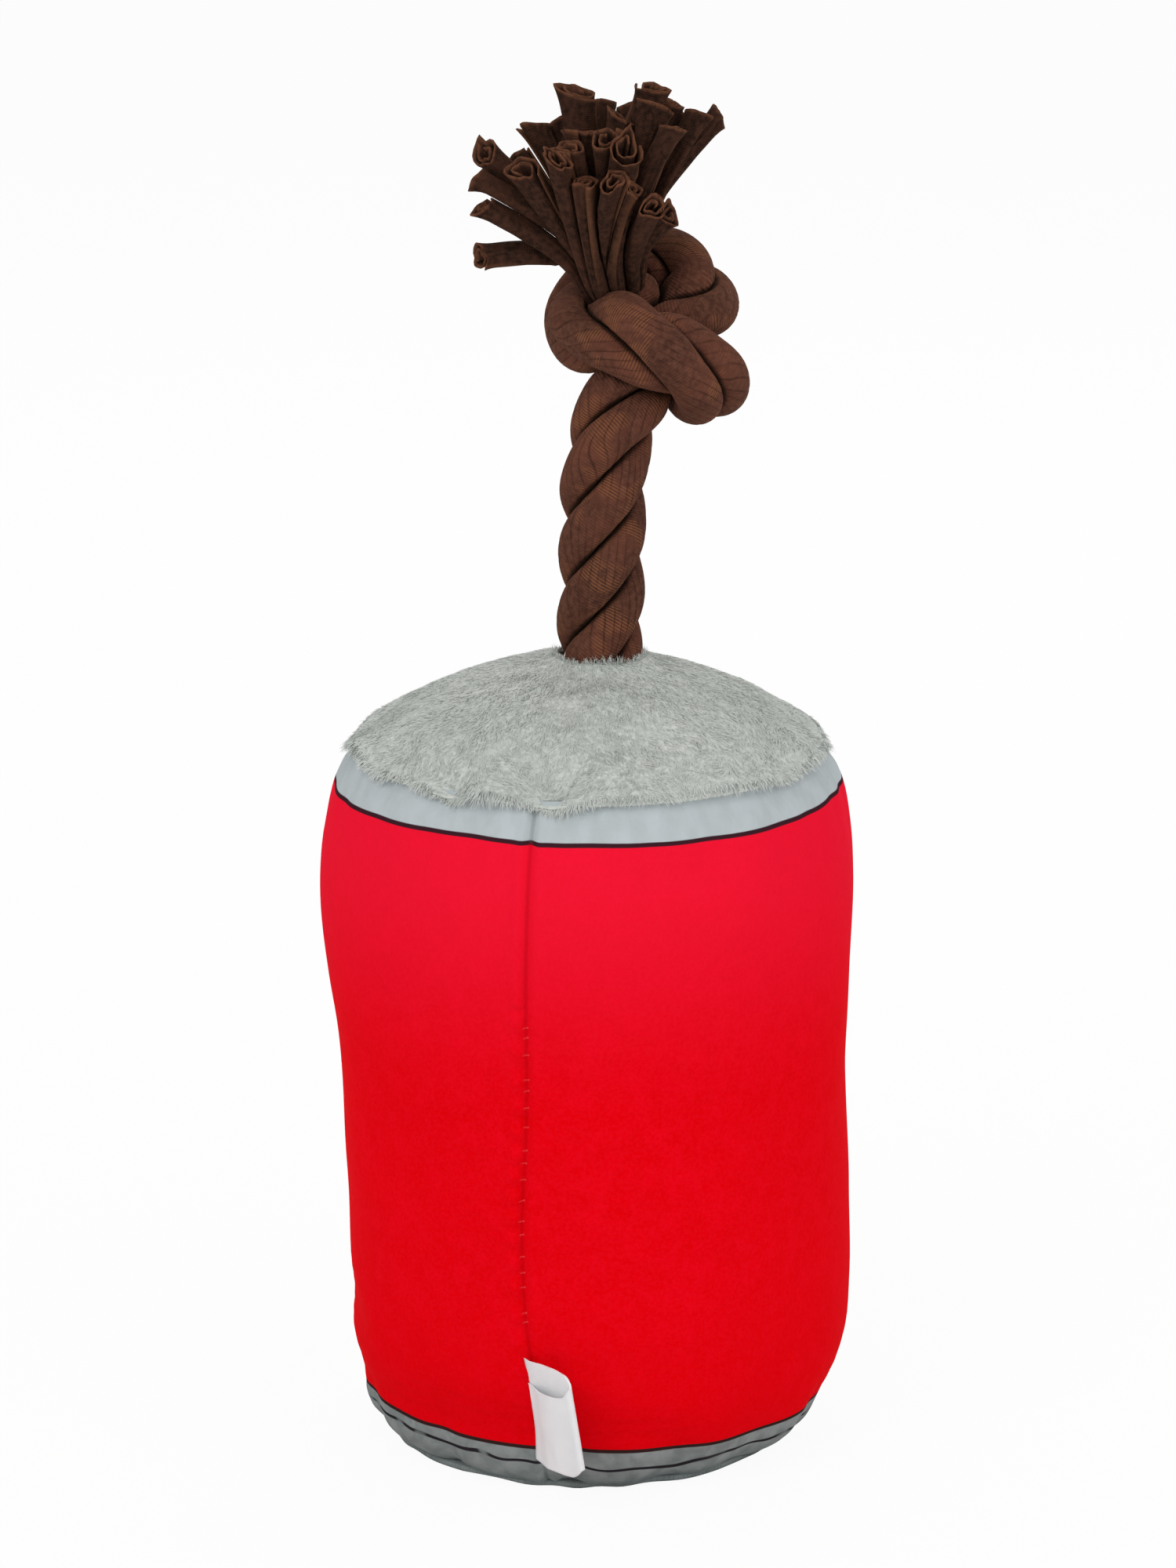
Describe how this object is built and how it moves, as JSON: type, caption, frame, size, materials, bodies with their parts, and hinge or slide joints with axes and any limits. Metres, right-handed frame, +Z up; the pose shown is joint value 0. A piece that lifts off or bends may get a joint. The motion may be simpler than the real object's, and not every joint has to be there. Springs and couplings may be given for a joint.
{
  "type": "squeaky dog toy",
  "caption": "Stuffed plush dog toy shaped like a drinks can, with a squeaker inside and a knotted rope handle that ends in a frayed tassel.",
  "frame": {"origin": "on the floor, in the middle of the flat base cloth", "axes": "+Z up the toy towards the rope; -Y is the side with the sewn back seam and the label; +X to the right when that side is seen"},
  "size_m": [0.115, 0.1259, 0.2965],
  "materials": {
    "red_print": "matte",
    "grey_plush": "matte",
    "grey_cloth": "matte",
    "brown_cotton": "matte",
    "white_fibre": "matte",
    "milky_plastic": "satin",
    "white_plastic": "satin",
    "clear_film": "gloss",
    "white_ribbon": "satin",
    "grey_thread": "matte",
    "red_thread": "matte",
    "brown_thread": "matte"
  },
  "bodies": {
    "stuffed_body": {"wrap_panel": "red_print", "base_cloth": "grey_cloth", "top_plush": "grey_plush", "top_seam_thread": "grey_thread", "base_seam_thread": "grey_thread", "closing_thread": "red_thread", "lower_stuffing": "white_fibre", "upper_stuffing": "white_fibre", "squeaker_bulb": "milky_plastic", "rope_tail": "brown_cotton", "rope_base_bend": "brown_cotton", "rope_tack_thread": "brown_thread"},
    "label": {"care_label": "white_ribbon"},
    "reed_housing": {"reed_plug": "white_plastic", "reed_seat": "white_plastic", "reed_clamp": "white_plastic"},
    "reed": {"reed_tongue": "clear_film"},
    "stem": {"rope_stem": "brown_cotton", "rope_neck_bend": "brown_cotton"},
    "knot": {"rope_knot": "brown_cotton", "rope_end_bend": "brown_cotton"},
    "tassel": {"tassel_strip_01": "brown_cotton", "tassel_strip_02": "brown_cotton", "tassel_strip_03": "brown_cotton", "tassel_strip_04": "brown_cotton", "tassel_strip_05": "brown_cotton", "tassel_strip_06": "brown_cotton", "tassel_strip_07": "brown_cotton", "tassel_strip_08": "brown_cotton", "tassel_strip_09": "brown_cotton", "tassel_strip_10": "brown_cotton", "tassel_strip_11": "brown_cotton", "tassel_strip_12": "brown_cotton", "tassel_strip_13": "brown_cotton", "tassel_strip_14": "brown_cotton", "tassel_strip_15": "brown_cotton", "tassel_strip_16": "brown_cotton", "tassel_strip_17": "brown_cotton", "tassel_strip_18": "brown_cotton", "tassel_strip_19": "brown_cotton", "tassel_strip_20": "brown_cotton", "tassel_strip_21": "brown_cotton", "tassel_strip_22": "brown_cotton", "tassel_strip_23": "brown_cotton", "tassel_strip_24": "brown_cotton", "tassel_strip_25": "brown_cotton", "tassel_strip_26": "brown_cotton", "tassel_strip_27": "brown_cotton", "tassel_strip_28": "brown_cotton", "tassel_strip_29": "brown_cotton", "tassel_strip_30": "brown_cotton"}
  },
  "joints": [
    {"name": "label_flap", "type": "hinge", "parent": "stuffed_body", "child": "label", "pos_m": [-0.01211, -0.05248, 0.0105], "axis": [-0.0309, -0.134, 0.9905], "range_deg": [-130, 35], "stiffness_Nm_per_rad": 0.0004},
    {"name": "squeaker_press", "type": "slide", "parent": "stuffed_body", "child": "reed_housing", "axis": [0, 0, -1], "range_m": [0, 0.01], "stiffness_N_per_m": 200, "deforming": ["squeaker_bulb"]},
    {"name": "reed_flutter", "type": "hinge", "parent": "reed_housing", "child": "reed", "pos_m": [0, 0, 0.0898], "axis": [1, 0, 0], "range_deg": [-6, 3], "stiffness_Nm_per_rad": 0.002},
    {"name": "rope_sway", "type": "hinge", "parent": "stuffed_body", "child": "stem", "pos_m": [0.0025, 0, 0.176], "axis": [0, 1, 0], "range_deg": [-40, 40], "stiffness_Nm_per_rad": 0.3, "deforming": ["rope_base_bend"]},
    {"name": "knot_nod", "type": "hinge", "parent": "stem", "child": "knot", "pos_m": [0.0038, -0.0007, 0.214], "axis": [1, 0, 0], "range_deg": [-35, 35], "stiffness_Nm_per_rad": 0.25, "deforming": ["rope_neck_bend"]},
    {"name": "tassel_nod", "type": "hinge", "parent": "knot", "child": "tassel", "pos_m": [0.0048, 0.0052, 0.256], "axis": [1, 0, 0], "range_deg": [-20, 20], "stiffness_Nm_per_rad": 0.05, "deforming": ["rope_end_bend"]}
  ]
}
